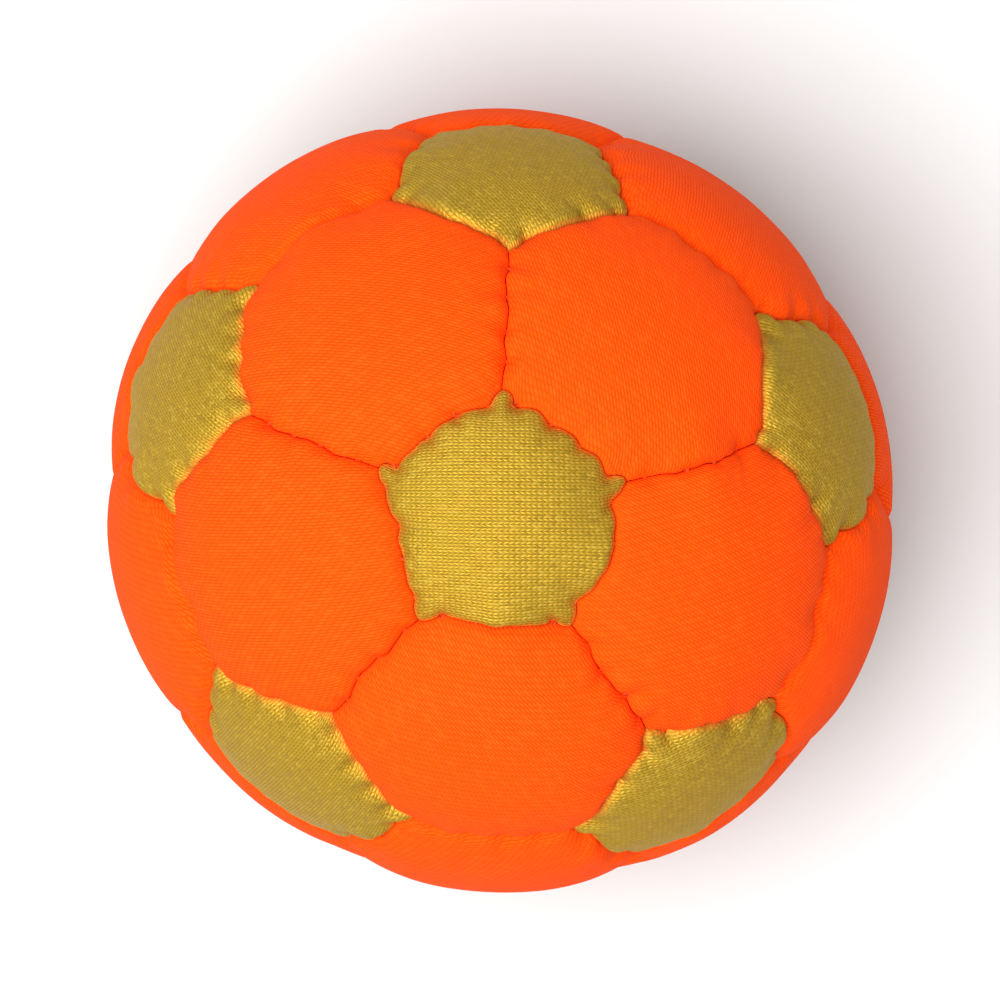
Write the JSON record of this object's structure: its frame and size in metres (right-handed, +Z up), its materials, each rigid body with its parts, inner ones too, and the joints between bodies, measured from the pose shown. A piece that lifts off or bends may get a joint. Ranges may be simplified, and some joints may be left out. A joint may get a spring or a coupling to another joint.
{
  "type": "footbag",
  "caption": "Round stitched fabric footbag of padded five- and six-sided panels sewn edge to edge round a pellet fill, for kicking and juggling.",
  "frame": {"origin": "on the floor under the ball's centre, at the middle of the flat patch that it rests on", "axes": "+Z up from the resting panel through the middle of the top five-sided panel; +Y towards one corner of the top panel"},
  "size_m": [0.0536, 0.0546, 0.0521],
  "materials": {
    "orange_fabric": "matt, finely woven, near-fluorescent orange",
    "gold_fabric": "satin knit in olive gold with glittering flecks",
    "thread": "twisted sewing thread, orange-brown",
    "pellets": "plain plastic pellets, out of sight"
  },
  "bodies": {
    "root": {"pentagon_panel_top": "gold_fabric", "pentagon_panel_upper_1": "gold_fabric", "pentagon_panel_upper_2": "gold_fabric", "pentagon_panel_upper_3": "gold_fabric", "pentagon_panel_upper_4": "gold_fabric", "pentagon_panel_upper_5": "gold_fabric", "pentagon_panel_lower_1": "gold_fabric", "pentagon_panel_lower_2": "gold_fabric", "pentagon_panel_lower_3": "gold_fabric", "pentagon_panel_lower_4": "gold_fabric", "pentagon_panel_lower_5": "gold_fabric", "pentagon_panel_bottom": "gold_fabric", "hexagon_panel_top_1": "orange_fabric", "hexagon_panel_top_2": "orange_fabric", "hexagon_panel_top_3": "orange_fabric", "hexagon_panel_top_4": "orange_fabric", "hexagon_panel_top_5": "orange_fabric", "hexagon_panel_upper_1": "orange_fabric", "hexagon_panel_upper_2": "orange_fabric", "hexagon_panel_upper_3": "orange_fabric", "hexagon_panel_upper_4": "orange_fabric", "hexagon_panel_upper_5": "orange_fabric", "hexagon_panel_lower_1": "orange_fabric", "hexagon_panel_lower_2": "orange_fabric", "hexagon_panel_lower_3": "orange_fabric", "hexagon_panel_lower_4": "orange_fabric", "hexagon_panel_lower_5": "orange_fabric", "hexagon_panel_bottom_1": "orange_fabric", "hexagon_panel_bottom_2": "orange_fabric", "hexagon_panel_bottom_3": "orange_fabric", "hexagon_panel_bottom_4": "orange_fabric", "hexagon_panel_bottom_5": "orange_fabric", "pentagon_thread_top": "thread", "pentagon_thread_upper_1": "thread", "pentagon_thread_upper_2": "thread", "pentagon_thread_upper_3": "thread", "pentagon_thread_upper_4": "thread", "pentagon_thread_upper_5": "thread", "pentagon_thread_lower_1": "thread", "pentagon_thread_lower_2": "thread", "pentagon_thread_lower_3": "thread", "pentagon_thread_lower_4": "thread", "pentagon_thread_lower_5": "thread", "pentagon_thread_bottom": "thread", "hexagon_thread_top": "thread", "hexagon_thread_upper": "thread", "hexagon_thread_middle": "thread", "hexagon_thread_lower": "thread", "hexagon_thread_bottom": "thread", "pellet_fill": "pellets"}
  },
  "joints": []
}
